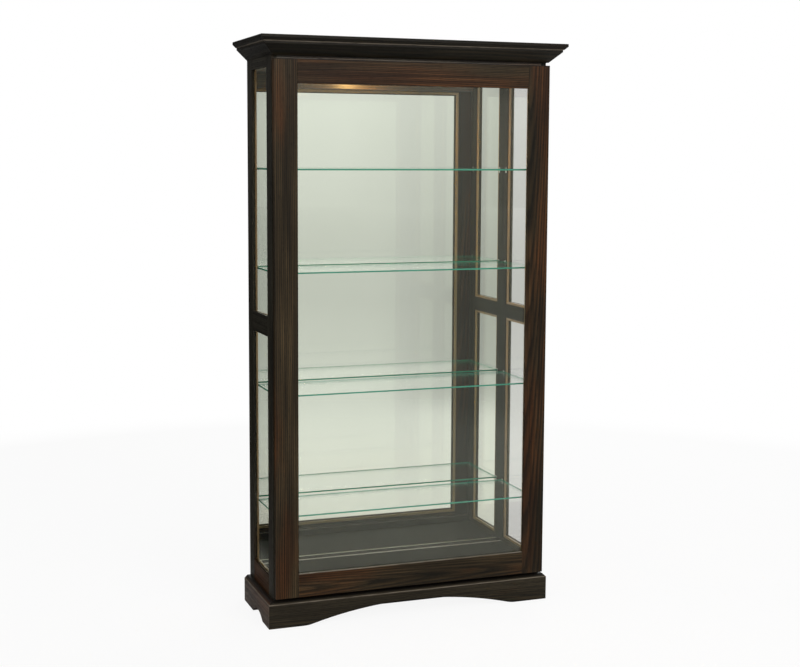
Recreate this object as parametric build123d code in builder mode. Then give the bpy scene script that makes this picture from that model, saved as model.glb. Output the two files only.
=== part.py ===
"""A sliding-door curio cabinet: oak frames, glass front and sides, mirrored back, four glass shelves.

The frame: X runs along the front, to the right; Y runs from the front to the back; Z is up.
The origin is on the floor, under the middle of the cabinet's overall width and depth.
"""

import math
import os

from build123d import *

# ---- Driving dimensions, in millimetres -------------------------------------------------------

HEIGHT = 2032.0  # floor to the top of the crown
BODY_WIDTH = 1016.0  # across the side frames, and across the door
BODY_DEPTH = 330.0  # side frames, front edge to back edge
FACING = 22.0  # thickness of the base boards and of the board behind the front crown
CROWN_PROJECTION = 52.0
CROWN_HEIGHT = 64.0
BASE_HEIGHT = 95.0
EASE = 1.2  # rounding of the edges that a hand meets

# Side frames
FRAME = 20.0  # thickness of every frame member
SIDE_STILE = 64.0
BODY_BOTTOM = 30.0
BODY_TOP = HEIGHT - 6.0
LOWER_WINDOW = (170.0, 1012.0)  # sight opening, bottom and top
UPPER_WINDOW = (1083.0, 1932.0)
LIP = 8.0  # wood left in front of the glass
RABBET = 9.0  # width of the rabbet round each side pane
RETAINER = 6.0  # thickness of the strips that hold a pane
SIDE_GLASS = 4.0
GLASS_PLAY = 1.0  # space round a pane in its rabbet
TENON_LENGTH = 20.0
TENON_THICKNESS = 8.0
TENON_SHOULDER = 10.0

# Carcass between the side frames
PANEL = 18.0  # deck and ceiling
DADO = 6.0  # how far the deck and ceiling enter the side frames
DECK_SHOULDER = 6.0  # from the deck's top down to the tongues at its ends
DECK_TOP = 143.0
CEILING_UNDERSIDE = 1944.0
FRONT_BOTTOM_RAIL = (40.0, 166.0)
FRONT_TOP_RAIL = (1890.0, BODY_TOP)
BACK_BOTTOM_RAIL = (60.0, DECK_TOP - PANEL)
MIRROR = 4.0
BACK_PANEL = 6.0
BACK_INSET = 4.0  # from the body's back edge to the back panel
BACK_RABBET_WIDTH = 10.0
BACK_SCREW_ROWS = 6
PLATE_GROOVE_WIDTH = 16.0
PLATE_GROOVE_DEPTH = 2.0
PLATE_GROOVE_INSET = 24.0  # from the face of the mirror to its middle

# Door
DOOR_BOTTOM = 108.0
DOOR_TOP = 1957.0
DOOR_MEMBER = 82.5  # width of its stiles and rails
DOOR_GLASS = 5.0
SLIDE_SPACE = 13.0  # between the body's front and the back of the door

# Glass shelves
SHELF_THICKNESS = 6.0
SHELF_LENGTH = 971.0
SHELF_DEPTH = 279.0
SHELF_SETBACK = 12.0  # from the body's front edge
LOWEST_SHELF = 384.0  # mid-thickness
HOLE_PITCH = 35.4
SHELF_STEPS = (0, 12, 24, 34)  # in holes above the lowest shelf
PIN_RADIUS = 2.5
PIN_HOLE_RADIUS = 2.55
PIN_DEPTH = 9.0
PIN_SHORT = 0.5  # how much shorter a pin is than its hole
PIN_DROP = 6.0  # from the underside of a shelf to the pin that carries it
FRONT_PIN_INSET = 28.0  # from the body's front edge
BACK_PIN_INSET = 30.0  # from the face of the mirror

# Ball-bearing slides
SLIDE_LENGTH = 914.0
SLIDE_TRAVEL = 457.0  # each way
SLIDE_SHEET = 1.2
UPPER_SLIDE_Z = 1925.0
LOWER_SLIDE_Z = 137.0
BALL_RADIUS = 2.35
CAGE_LENGTH = 600.0
BALLS_PER_ROW = 12
SLIDE_SCREW_PITCH = 200.0
SCREW_RADIUS = 2.0
SCREW_HOLE_RADIUS = 2.1
SCREW_HEAD_RADIUS = 4.0
SCREW_HEAD = 1.4  # height of a pan head
SCREW_BITE = 14.0  # how far a screw enters the body
DOOR_SCREW_BITE = 13.0
HOLE_SPARE = 1.0  # how much deeper a hole is than its screw

# Ceiling light
LIGHT_RADIUS = 33.0
LIGHT_HOLE_RADIUS = 33.5
LIGHT_Y = 30.0

# ---- Worked out from them ---------------------------------------------------------------------

HALF_BODY = BODY_WIDTH / 2
INNER_X = HALF_BODY - FRAME
BACK_Y = (CROWN_PROJECTION + FACING + BODY_DEPTH) / 2
FRONT_Y = BACK_Y - BODY_DEPTH  # front of the body
FACING_Y = FRONT_Y - FACING  # front of the base, and the foot of the front crown
CROWN_BOTTOM = HEIGHT - CROWN_HEIGHT
RAIL_BACK_Y = FRONT_Y + FRAME
PANEL_BACK_Y = BACK_Y - BACK_INSET
PANEL_Y = PANEL_BACK_Y - BACK_PANEL
MIRROR_Y = PANEL_Y - MIRROR  # reflecting face
DOOR_BACK_Y = FRONT_Y - SLIDE_SPACE
DOOR_FRONT_Y = DOOR_BACK_Y - FRAME
WINDOW_FRONT_Y = FRONT_Y + SIDE_STILE
WINDOW_BACK_Y = BACK_Y - SIDE_STILE
DOOR_SIGHT_X = HALF_BODY - DOOR_MEMBER
DOOR_SIGHT_BOTTOM = DOOR_BOTTOM + DOOR_MEMBER
DOOR_SIGHT_TOP = DOOR_TOP - DOOR_MEMBER
SHELF_HEIGHTS = [LOWEST_SHELF + step * HOLE_PITCH for step in SHELF_STEPS]

os.makedirs("parts", exist_ok=True)


# ---- Helpers ----------------------------------------------------------------------------------


def save(piece, name):
    """Label a finished piece and write its STEP file."""
    piece.part.label = name
    export_step(piece.part, f"parts/{name}.step")


def block(low, high, mode=Mode.ADD):
    """A box between two corners, in the builder that is open."""
    centre = [(a + b) / 2 for a, b in zip(low, high)]
    sides = [b - a for a, b in zip(low, high)]
    with Locations(tuple(centre)):
        Box(*sides, mode=mode)


def rod(start, direction, radius, length, mode=Mode.ADD):
    """A cylinder that runs from a point in a direction, in the builder that is open."""
    with Locations(Plane(origin=start, z_dir=direction).location):
        Cylinder(radius, length, align=(Align.CENTER, Align.CENTER, Align.MIN), mode=mode)


def save_pair(piece, name):
    """Write a right-hand piece and its mirror image on the left."""
    save(piece, f"right_{name}")
    with BuildPart() as other:
        mirror(piece.part, about=Plane.YZ)
    save(other, f"left_{name}")


def mitred_strips(plane, width, height, strip, thickness):
    """Four strips with mitred ends round a sight opening, drawn on a plane and extruded from it."""
    saw_cut = 0.2
    with BuildSketch(plane) as strips:
        Rectangle(width + 2 * strip, height + 2 * strip)
        Rectangle(width, height, mode=Mode.SUBTRACT)
        for side_x in (-1, 1):
            for side_y in (-1, 1):
                corner = (side_x * (width + strip) / 2, side_y * (height + strip) / 2)
                with Locations(Location(corner + (0,), (0, 0, 45 * side_x * side_y))):
                    Rectangle(3 * strip, saw_cut, mode=Mode.SUBTRACT)
    extrude(strips.sketch, amount=thickness)


# ---- Screws of the back panel -----------------------------------------------------------------

BACK_HALF_WIDTH = INNER_X + BACK_RABBET_WIDTH - GLASS_PLAY
BACK_PANEL_Z = (65.0, 2020.0)
BACK_SCREW_EDGE = 4.5  # from the back panel's edge to the screws into the stiles
STILE_SCREW_X = BACK_HALF_WIDTH - BACK_SCREW_EDGE
BOTTOM_SCREW_Z = 90.0
CEILING_SCREW_Z = CEILING_UNDERSIDE + PANEL / 2
STILE_SCREW_MARGIN = 100.0  # from the panel's ends to the first and last rows
STILE_SCREW_SPAN = BACK_PANEL_Z[1] - BACK_PANEL_Z[0] - 2 * STILE_SCREW_MARGIN
STILE_SCREWS = [
    (STILE_SCREW_X, BACK_PANEL_Z[0] + STILE_SCREW_MARGIN + row * STILE_SCREW_SPAN / (BACK_SCREW_ROWS - 1))
    for row in range(BACK_SCREW_ROWS)
]
ACROSS_SCREWS = {
    z: [(x, z) for x in (-300.0, 0.0, 300.0)] for z in (BOTTOM_SCREW_Z, CEILING_SCREW_Z)
}
BACK_SCREWS = (
    STILE_SCREWS
    + [(-x, z) for x, z in STILE_SCREWS]
    + ACROSS_SCREWS[BOTTOM_SCREW_Z]
    + ACROSS_SCREWS[CEILING_SCREW_Z]
)


def drill_for_back_screws(places):
    """Clearance holes, in the wood behind the back panel's screws, at these x and z."""
    for x, z in places:
        depth = SCREW_BITE + HOLE_SPARE
        rod((x, PANEL_Y, z), (0, -1, 0), SCREW_HOLE_RADIUS, depth, mode=Mode.SUBTRACT)


# ---- Side frames ------------------------------------------------------------------------------

WINDOWS = {"lower": LOWER_WINDOW, "upper": UPPER_WINDOW}
GLASS_X = HALF_BODY - LIP  # outer face of the side panes
TENON_X = (INNER_X + DADO, INNER_X + DADO + TENON_THICKNESS)


def cut_window_rabbets():
    """The two glass pockets in the right side frame, open to the inside of the cabinet."""
    for bottom, top in WINDOWS.values():
        low = (INNER_X, WINDOW_FRONT_Y - RABBET, bottom - RABBET)
        high = (GLASS_X, WINDOW_BACK_Y + RABBET, top + RABBET)
        block(low, high, mode=Mode.SUBTRACT)


def cut_dadoes():
    """Grooves for the ends of the deck and the ceiling, and the rabbet for the back panel."""
    for bottom, top, back in (
        (DECK_TOP - PANEL, DECK_TOP - DECK_SHOULDER, MIRROR_Y),
        (CEILING_UNDERSIDE, CEILING_UNDERSIDE + PANEL, PANEL_Y),
    ):
        low = (INNER_X, RAIL_BACK_Y, bottom)
        block(low, (INNER_X + DADO, back, top), mode=Mode.SUBTRACT)
    rabbet_low = (INNER_X, PANEL_Y, BODY_BOTTOM)
    rabbet_high = (INNER_X + BACK_RABBET_WIDTH, BACK_Y, BODY_TOP)
    block(rabbet_low, rabbet_high, mode=Mode.SUBTRACT)


RAILS = {
    "bottom_rail": (BODY_BOTTOM, LOWER_WINDOW[0]),
    "middle_rail": (LOWER_WINDOW[1], UPPER_WINDOW[0]),
    "top_rail": (UPPER_WINDOW[1], BODY_TOP),
}


def rail_tenons(bottom, top, mode=Mode.ADD):
    """The tenons at both ends of a rail, or with SUBTRACT the mortises that take them."""
    low = (TENON_X[0], WINDOW_FRONT_Y - TENON_LENGTH, bottom + TENON_SHOULDER)
    high = (TENON_X[1], WINDOW_FRONT_Y, top - TENON_SHOULDER)
    block(low, high, mode=mode)
    low = (TENON_X[0], WINDOW_BACK_Y, bottom + TENON_SHOULDER)
    high = (TENON_X[1], WINDOW_BACK_Y + TENON_LENGTH, top - TENON_SHOULDER)
    block(low, high, mode=mode)


def drill_pin_holes(y):
    """Shelf pin holes at one distance from the front: the one in use, and one above and below."""
    for height in SHELF_HEIGHTS:
        in_use = height - SHELF_THICKNESS / 2 - PIN_DROP
        for step in (-1, 0, 1):
            mouth = (INNER_X, y, in_use + step * HOLE_PITCH)
            rod(mouth, (1, 0, 0), PIN_HOLE_RADIUS, PIN_DEPTH, mode=Mode.SUBTRACT)


FRONT_PIN_Y = FRONT_Y + FRONT_PIN_INSET
BACK_PIN_Y = MIRROR_Y - BACK_PIN_INSET

for stile, (near, far, pin_y) in {
    "front_stile": (FRONT_Y, WINDOW_FRONT_Y, FRONT_PIN_Y),
    "back_stile": (WINDOW_BACK_Y, BACK_Y, BACK_PIN_Y),
}.items():
    with BuildPart() as side_stile:
        block((INNER_X, near, BODY_BOTTOM), (HALF_BODY, far, BODY_TOP))
        outer_edges = side_stile.edges().filter_by(Axis.Z).group_by(Axis.X)[-1]
        fillet(outer_edges, radius=EASE)
        cut_window_rabbets()
        cut_dadoes()
        for rail_bottom, rail_top in RAILS.values():
            rail_tenons(rail_bottom, rail_top, mode=Mode.SUBTRACT)
        drill_pin_holes(pin_y)
        if far == BACK_Y:
            drill_for_back_screws(STILE_SCREWS)
    save_pair(side_stile, stile)

for rail, (rail_bottom, rail_top) in RAILS.items():
    with BuildPart() as side_rail:
        block((INNER_X, WINDOW_FRONT_Y, rail_bottom), (HALF_BODY, WINDOW_BACK_Y, rail_top))
        outer_edges = side_rail.edges().filter_by(Axis.Y).group_by(Axis.X)[-1]
        fillet(outer_edges, radius=EASE)
        cut_window_rabbets()
        cut_dadoes()
        rail_tenons(rail_bottom, rail_top)
    save_pair(side_rail, rail)

# ---- Side panes and the strips that hold them -------------------------------------------------

WINDOW_MIDDLE_Y = (WINDOW_FRONT_Y + WINDOW_BACK_Y) / 2
WINDOW_DEPTH = WINDOW_BACK_Y - WINDOW_FRONT_Y

for window, (bottom, top) in WINDOWS.items():
    middle_z = (bottom + top) / 2
    pane_margin = RABBET - GLASS_PLAY
    with BuildPart() as pane:
        low = (GLASS_X - SIDE_GLASS, WINDOW_FRONT_Y - pane_margin, bottom - pane_margin)
        block(low, (GLASS_X, WINDOW_BACK_Y + pane_margin, top + pane_margin))
    save_pair(pane, f"{window}_glass")
    with BuildPart() as retainers:
        face = Plane(
            origin=(GLASS_X - SIDE_GLASS, WINDOW_MIDDLE_Y, middle_z),
            x_dir=(0, 1, 0),
            z_dir=(-1, 0, 0),
        )
        mitred_strips(face, WINDOW_DEPTH, top - bottom, RABBET, RETAINER)
    save_pair(retainers, f"{window}_glass_retainers")

# ---- Carcass between the side frames ----------------------------------------------------------


SLIDE_SCREW_XS = [index * SLIDE_SCREW_PITCH for index in range(-2, 3)]


def slide_screw_holes(z):
    """Clearance holes for the screws that hold a slide's fixed member."""
    for x in SLIDE_SCREW_XS:
        depth = SCREW_BITE + HOLE_SPARE
        rod((x, FRONT_Y, z), (0, 1, 0), SCREW_HOLE_RADIUS, depth, mode=Mode.SUBTRACT)


for rail, (rail_bottom, rail_top), slide_z in (
    ("front_top_rail", FRONT_TOP_RAIL, UPPER_SLIDE_Z),
    ("front_bottom_rail", FRONT_BOTTOM_RAIL, LOWER_SLIDE_Z),
):
    with BuildPart() as front_rail:
        block((-INNER_X, FRONT_Y, rail_bottom), (INNER_X, RAIL_BACK_Y, rail_top))
        fillet(front_rail.edges().filter_by(Axis.X), radius=EASE)
        slide_screw_holes(slide_z)
    save(front_rail, rail)

with BuildPart() as deck_panel:
    block((-INNER_X, RAIL_BACK_Y, DECK_TOP - PANEL), (INNER_X, MIRROR_Y, DECK_TOP))
    tongue_low = (-INNER_X - DADO, RAIL_BACK_Y, DECK_TOP - PANEL)
    block(tongue_low, (INNER_X + DADO, MIRROR_Y, DECK_TOP - DECK_SHOULDER))
    groove_y = MIRROR_Y - PLATE_GROOVE_INSET
    groove_low = (-INNER_X, groove_y - PLATE_GROOVE_WIDTH / 2, DECK_TOP - PLATE_GROOVE_DEPTH)
    groove_high = (INNER_X, groove_y + PLATE_GROOVE_WIDTH / 2, DECK_TOP)
    block(groove_low, groove_high, mode=Mode.SUBTRACT)
save(deck_panel, "deck_panel")

with BuildPart() as ceiling_panel:
    block(
        (-INNER_X - DADO, RAIL_BACK_Y, CEILING_UNDERSIDE),
        (INNER_X + DADO, PANEL_Y, CEILING_UNDERSIDE + PANEL),
    )
    light_hole = (0, LIGHT_Y, CEILING_UNDERSIDE)
    rod(light_hole, (0, 0, 1), LIGHT_HOLE_RADIUS, PANEL, mode=Mode.SUBTRACT)
    drill_for_back_screws(ACROSS_SCREWS[CEILING_SCREW_Z])
save(ceiling_panel, "ceiling_panel")

with BuildPart() as back_bottom_rail:
    block(
        (-INNER_X, PANEL_Y - FRAME, BACK_BOTTOM_RAIL[0]),
        (INNER_X, PANEL_Y, BACK_BOTTOM_RAIL[1]),
    )
    drill_for_back_screws(ACROSS_SCREWS[BOTTOM_SCREW_Z])
save(back_bottom_rail, "back_bottom_rail")

with BuildPart() as mirror_pane:
    block(
        (-INNER_X + GLASS_PLAY / 2, MIRROR_Y, BACK_BOTTOM_RAIL[1] + GLASS_PLAY),
        (INNER_X - GLASS_PLAY / 2, PANEL_Y, CEILING_UNDERSIDE - GLASS_PLAY),
    )
save(mirror_pane, "mirror")

GROMMET_PLACE = (300.0, 1988.0)  # x and z of the light cord's way out
GROMMET_NECK = 7.0
GROMMET_BORE = 4.0
GROMMET_FLANGE = 10.0
GROMMET_RIM = 2.0

with BuildPart() as back_panel:
    block((-BACK_HALF_WIDTH, PANEL_Y, BACK_PANEL_Z[0]), (BACK_HALF_WIDTH, PANEL_BACK_Y, BACK_PANEL_Z[1]))
    grommet_start = (GROMMET_PLACE[0], PANEL_Y, GROMMET_PLACE[1])
    rod(grommet_start, (0, 1, 0), GROMMET_NECK, BACK_PANEL, mode=Mode.SUBTRACT)
    for x, z in BACK_SCREWS:
        rod((x, PANEL_Y, z), (0, 1, 0), SCREW_HOLE_RADIUS, BACK_PANEL, mode=Mode.SUBTRACT)
save(back_panel, "back_panel")

with BuildPart() as back_panel_screws:
    for x, z in BACK_SCREWS:
        rod((x, PANEL_BACK_Y, z), (0, -1, 0), SCREW_RADIUS, BACK_PANEL + SCREW_BITE)
        rod((x, PANEL_BACK_Y, z), (0, 1, 0), SCREW_HEAD_RADIUS, SCREW_HEAD)
save(back_panel_screws, "back_panel_screws")

with BuildPart() as cord_grommet:
    rod((GROMMET_PLACE[0], PANEL_Y, GROMMET_PLACE[1]), (0, 1, 0), GROMMET_NECK, BACK_PANEL)
    for y in (PANEL_Y - GROMMET_RIM, PANEL_BACK_Y):
        rod((GROMMET_PLACE[0], y, GROMMET_PLACE[1]), (0, 1, 0), GROMMET_FLANGE, GROMMET_RIM)
    bore_start = (GROMMET_PLACE[0], PANEL_Y - GROMMET_RIM, GROMMET_PLACE[1])
    bore_length = BACK_PANEL + 2 * GROMMET_RIM
    rod(bore_start, (0, 1, 0), GROMMET_BORE, bore_length, mode=Mode.SUBTRACT)
save(cord_grommet, "cord_grommet")

# ---- Ceiling light ----------------------------------------------------------------------------

RING_OUTER = 41.0
RING_INNER = 27.0
RING_THICKNESS = 3.0
SLEEVE_HEIGHT = 12.0
HOUSING_HEIGHT = 42.0
HOUSING_WALL = 1.5
SLEEVE_WALL = 1.4
LIGHT_PLAY = 0.2
LENS_THICKNESS = 2.0
BOARD_THICKNESS = 1.6


def turned(profile):
    """Turn a profile, given as (radius, height above the ceiling's underside), about the light's axis."""
    section_plane = Plane(origin=(0, LIGHT_Y, CEILING_UNDERSIDE), x_dir=(1, 0, 0), z_dir=(0, -1, 0))
    with BuildSketch(section_plane) as half_section:
        with BuildLine():
            Polyline(*profile, close=True)
        make_face()
    revolve(half_section.sketch, axis=Axis((0, LIGHT_Y, 0), (0, 0, 1)))


HOUSING_BORE = LIGHT_RADIUS - HOUSING_WALL
SLEEVE_OUTER = HOUSING_BORE - LIGHT_PLAY
SLEEVE_INNER = SLEEVE_OUTER - SLEEVE_WALL
LENS_RADIUS = SLEEVE_INNER - LIGHT_PLAY
BOARD_RADIUS = HOUSING_BORE - LIGHT_PLAY

with BuildPart() as light_trim_ring:
    turned(
        [
            (RING_INNER, -RING_THICKNESS + 1.0),
            (RING_INNER + 1.0, -RING_THICKNESS),
            (RING_OUTER - 2.0, -RING_THICKNESS),
            (RING_OUTER, -1.0),
            (RING_OUTER, 0),
            (SLEEVE_OUTER, 0),
            (SLEEVE_OUTER, SLEEVE_HEIGHT),
            (SLEEVE_INNER, SLEEVE_HEIGHT),
            (SLEEVE_INNER, 0),
            (RING_INNER, 0),
        ]
    )
save(light_trim_ring, "light_trim_ring")

with BuildPart() as light_lens:
    turned([(0, 0), (LENS_RADIUS, 0), (LENS_RADIUS, LENS_THICKNESS), (0, LENS_THICKNESS)])
save(light_lens, "light_lens")

with BuildPart() as light_board:
    board_top = SLEEVE_HEIGHT + BOARD_THICKNESS
    turned(
        [
            (0, SLEEVE_HEIGHT),
            (BOARD_RADIUS, SLEEVE_HEIGHT),
            (BOARD_RADIUS, board_top),
            (0, board_top),
        ]
    )
save(light_board, "light_board")

with BuildPart() as light_housing:
    turned(
        [
            (HOUSING_BORE, 0),
            (LIGHT_RADIUS, 0),
            (LIGHT_RADIUS, HOUSING_HEIGHT - 1.0),
            (LIGHT_RADIUS - 1.0, HOUSING_HEIGHT),
            (0, HOUSING_HEIGHT),
            (0, HOUSING_HEIGHT - HOUSING_WALL),
            (HOUSING_BORE, HOUSING_HEIGHT - HOUSING_WALL),
        ]
    )
save(light_housing, "light_housing")

# ---- Crown ------------------------------------------------------------------------------------

# The crown's section: (distance out from the body, height above its foot).
CROWN_SECTION = [
    (0, 0),
    (37.5, 36.0),
    (37.5, 43.5),
    (41.0, 43.5),
    (CROWN_PROJECTION, 54.5),
    (CROWN_PROJECTION, CROWN_HEIGHT - EASE),
    (CROWN_PROJECTION - EASE, CROWN_HEIGHT),
    (0, CROWN_HEIGHT),
]


def front_length(section, origin_y, origin_z, half_length):
    """A moulding along the front, mitred where it meets the side lengths at x = HALF_BODY."""
    section_plane = Plane(
        origin=(half_length, origin_y, origin_z), x_dir=(0, -1, 0), z_dir=(-1, 0, 0)
    )
    with BuildSketch(section_plane) as outline:
        with BuildLine():
            Polyline(*section, close=True)
        make_face()
    extrude(outline.sketch, amount=2 * half_length)
    for side in (-1, 1):
        corner = Plane(origin=(side * HALF_BODY, origin_y, origin_z), z_dir=(side, 1, 0))
        split(bisect_by=corner, keep=Keep.BOTTOM)


def side_length(section, origin_y, origin_z, overhang):
    """The matching moulding along the right side, from the mitre to the body's back edge."""
    length = BACK_Y - origin_y + overhang
    section_plane = Plane(origin=(HALF_BODY, BACK_Y, origin_z), x_dir=(1, 0, 0), z_dir=(0, -1, 0))
    with BuildSketch(section_plane) as outline:
        with BuildLine():
            Polyline(*section, close=True)
        make_face()
    extrude(outline.sketch, amount=length)
    corner = Plane(origin=(HALF_BODY, origin_y, origin_z), z_dir=(1, 1, 0))
    split(bisect_by=corner, keep=Keep.TOP)


with BuildPart() as crown_front:
    front_length(CROWN_SECTION, FACING_Y, CROWN_BOTTOM, HALF_BODY + CROWN_PROJECTION)
save(crown_front, "crown_front")

with BuildPart() as crown_side:
    side_length(CROWN_SECTION, FACING_Y, CROWN_BOTTOM, CROWN_PROJECTION)
save(crown_side, "crown_right")
with BuildPart() as crown_other_side:
    mirror(crown_side.part, about=Plane.YZ)
save(crown_other_side, "crown_left")

with BuildPart() as crown_backer:
    block((-HALF_BODY, FACING_Y, CROWN_BOTTOM), (HALF_BODY, FRONT_Y, BODY_TOP))
save(crown_backer, "crown_backer")

# ---- Base -------------------------------------------------------------------------------------

BASE_CHAMFER = 11.0
CHAMFER_START = BASE_HEIGHT - BASE_CHAMFER
FRONT_ARCH = {"half_span": 405.0, "rise": 53.0, "foot_radius": 130.0}
SIDE_ARCH = {"half_span": 67.0, "rise": 25.0, "foot_radius": 6.0}
SIDE_ARCH_Y = 9.0

BASE_SECTION = [
    (0, 0),
    (FACING, 0),
    (FACING, CHAMFER_START - 1.5),
    (FACING - 0.6, CHAMFER_START + 0.8),
    (FACING - BASE_CHAMFER, BASE_HEIGHT),
    (0, BASE_HEIGHT),
]


def arch_cut(plane, half_span, rise, foot_radius, depth):
    """Cut an arch with ogee ends: at each foot a small arc turns into the one large arc."""
    turn = 2 * math.atan(rise / half_span)
    arch_radius = half_span / math.sin(turn) - foot_radius
    join_x = half_span - foot_radius * math.sin(turn)
    join_z = foot_radius * (1 - math.cos(turn))
    foot_mid_x = half_span - foot_radius * math.sin(turn / 2)
    foot_mid_z = foot_radius * (1 - math.cos(turn / 2))
    if abs(rise - join_z - arch_radius * (1 - math.cos(turn))) > 0.01:
        raise ValueError("the arch's two arcs don't meet")
    with BuildSketch(plane) as arch:
        with BuildLine():
            ThreePointArc((half_span, 0), (foot_mid_x, foot_mid_z), (join_x, join_z))
            ThreePointArc((join_x, join_z), (0, rise), (-join_x, join_z))
            ThreePointArc((-join_x, join_z), (-foot_mid_x, foot_mid_z), (-half_span, 0))
            Line((-half_span, 0), (half_span, 0))
        make_face()
    extrude(arch.sketch, amount=depth, mode=Mode.SUBTRACT)


with BuildPart() as base_front:
    front_length(BASE_SECTION, FRONT_Y, 0, HALF_BODY + FACING)
    arch_plane = Plane(origin=(0, FRONT_Y, 0), x_dir=(1, 0, 0), z_dir=(0, -1, 0))
    arch_cut(arch_plane, depth=FACING, **FRONT_ARCH)
save(base_front, "base_front")

with BuildPart() as base_side:
    side_length(BASE_SECTION, FRONT_Y, 0, FACING)
    arch_plane = Plane(origin=(HALF_BODY, SIDE_ARCH_Y, 0), x_dir=(0, 1, 0), z_dir=(1, 0, 0))
    arch_cut(arch_plane, depth=FACING, **SIDE_ARCH)
save(base_side, "base_right")
with BuildPart() as base_other_side:
    mirror(base_side.part, about=Plane.YZ)
save(base_other_side, "base_left")

CORNER_BLOCK = 58.0
BLOCK_BOTTOM = 2.0

with BuildPart() as base_corner_blocks:
    for side in (-1, 1):
        for near in (FRONT_Y, BACK_Y - CORNER_BLOCK):
            xs = sorted((side * HALF_BODY, side * (HALF_BODY - CORNER_BLOCK)))
            block((xs[0], near, BLOCK_BOTTOM), (xs[1], near + CORNER_BLOCK, BODY_BOTTOM))
save(base_corner_blocks, "base_corner_blocks")

# ---- Glass shelves and their supports ---------------------------------------------------------

SHELF_FRONT_Y = FRONT_Y + SHELF_SETBACK
SHELF_BACK_Y = SHELF_FRONT_Y + SHELF_DEPTH
SHELF_GROOVE_INSET = 48.0
SHELF_GROOVE_RADIUS = 5.0
SHELF_GROOVE_DEPTH = 1.5
SHELF_EDGE = 0.5  # chamfer along its long edges
SUPPORT_WIDTH = 10.0
SUPPORT_REACH = 13.0
SUPPORT_PLATE = 1.6
SUPPORT_TAB = 3.0  # how far its back plate stands above the glass

for number, height in enumerate(SHELF_HEIGHTS, start=1):
    shelf_top = height + SHELF_THICKNESS / 2
    with BuildPart() as glass_shelf:
        block(
            (-SHELF_LENGTH / 2, SHELF_FRONT_Y, height - SHELF_THICKNESS / 2),
            (SHELF_LENGTH / 2, SHELF_BACK_Y, shelf_top),
        )
        chamfer(glass_shelf.edges().filter_by(Axis.X), length=SHELF_EDGE)
        groove_z = shelf_top + SHELF_GROOVE_RADIUS - SHELF_GROOVE_DEPTH
        groove_start = (-SHELF_LENGTH / 2, SHELF_BACK_Y - SHELF_GROOVE_INSET, groove_z)
        rod(groove_start, (1, 0, 0), SHELF_GROOVE_RADIUS, SHELF_LENGTH, mode=Mode.SUBTRACT)
    save(glass_shelf, f"glass_shelf_{number}")

with BuildPart() as shelf_supports:
    for height in SHELF_HEIGHTS:
        underside = height - SHELF_THICKNESS / 2
        for side in (-1, 1):
            for pin_y in (FRONT_PIN_Y, BACK_PIN_Y):
                pin_start = (side * INNER_X, pin_y, underside - PIN_DROP)
                rod(pin_start, (side, 0, 0), PIN_RADIUS, PIN_DEPTH - PIN_SHORT)
                plate_xs = sorted((side * INNER_X, side * (INNER_X - SUPPORT_PLATE)))
                tab_top = underside + SHELF_THICKNESS + SUPPORT_TAB
                low = (plate_xs[0], pin_y - SUPPORT_WIDTH / 2, underside - 2 * PIN_DROP)
                block(low, (plate_xs[1], pin_y + SUPPORT_WIDTH / 2, tab_top))
                foot_xs = sorted((side * INNER_X, side * (INNER_X - SUPPORT_REACH)))
                low = (foot_xs[0], pin_y - SUPPORT_WIDTH / 2, underside - SUPPORT_PLATE)
                block(low, (foot_xs[1], pin_y + SUPPORT_WIDTH / 2, underside))
save(shelf_supports, "shelf_supports")

# ---- Door -------------------------------------------------------------------------------------

DOOR_TENON_INSET = 4.0
DOOR_TENON_FRONT_Y = DOOR_FRONT_Y + DOOR_TENON_INSET
DOOR_TENON_Y = (DOOR_TENON_FRONT_Y, DOOR_TENON_FRONT_Y + TENON_THICKNESS)
DOOR_POCKET_Y = DOOR_FRONT_Y + LIP
DOOR_RAILS = {
    "door_bottom_rail": (DOOR_BOTTOM, DOOR_SIGHT_BOTTOM),
    "door_top_rail": (DOOR_SIGHT_TOP, DOOR_TOP),
}
DOOR_TENON_LENGTH = 45.0
DOOR_TENON_SHOULDER = 16.0
DOOR_RABBET = 13.0  # width of the rabbet round its glass
DOOR_STRIP_SET_BACK = 4.0  # from the sight opening to the strips, which the front then hides


def cut_door_pocket():
    """The rabbet for the door's glass, open to the back of the door."""
    low = (-DOOR_SIGHT_X - DOOR_RABBET, DOOR_POCKET_Y, DOOR_SIGHT_BOTTOM - DOOR_RABBET)
    high = (DOOR_SIGHT_X + DOOR_RABBET, DOOR_BACK_Y, DOOR_SIGHT_TOP + DOOR_RABBET)
    block(low, high, mode=Mode.SUBTRACT)


def door_tenons(bottom, top, mode=Mode.ADD):
    """Both tenons of a door rail, or with SUBTRACT their mortises."""
    for side in (-1, 1):
        xs = sorted((side * DOOR_SIGHT_X, side * (DOOR_SIGHT_X + DOOR_TENON_LENGTH)))
        low = (xs[0], DOOR_TENON_Y[0], bottom + DOOR_TENON_SHOULDER)
        block(low, (xs[1], DOOR_TENON_Y[1], top - DOOR_TENON_SHOULDER), mode=mode)


with BuildPart() as door_stile:
    block((DOOR_SIGHT_X, DOOR_FRONT_Y, DOOR_BOTTOM), (HALF_BODY, DOOR_BACK_Y, DOOR_TOP))
    fillet(door_stile.edges().filter_by(Axis.Z).group_by(Axis.Y)[0], radius=EASE)
    fillet(door_stile.edges().filter_by(Axis.Z).group_by(Axis.X)[-1], radius=EASE)
    cut_door_pocket()
    for rail_bottom, rail_top in DOOR_RAILS.values():
        door_tenons(rail_bottom, rail_top, mode=Mode.SUBTRACT)
save(door_stile, "door_right_stile")
with BuildPart() as door_other_stile:
    mirror(door_stile.part, about=Plane.YZ)
save(door_other_stile, "door_left_stile")

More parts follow.
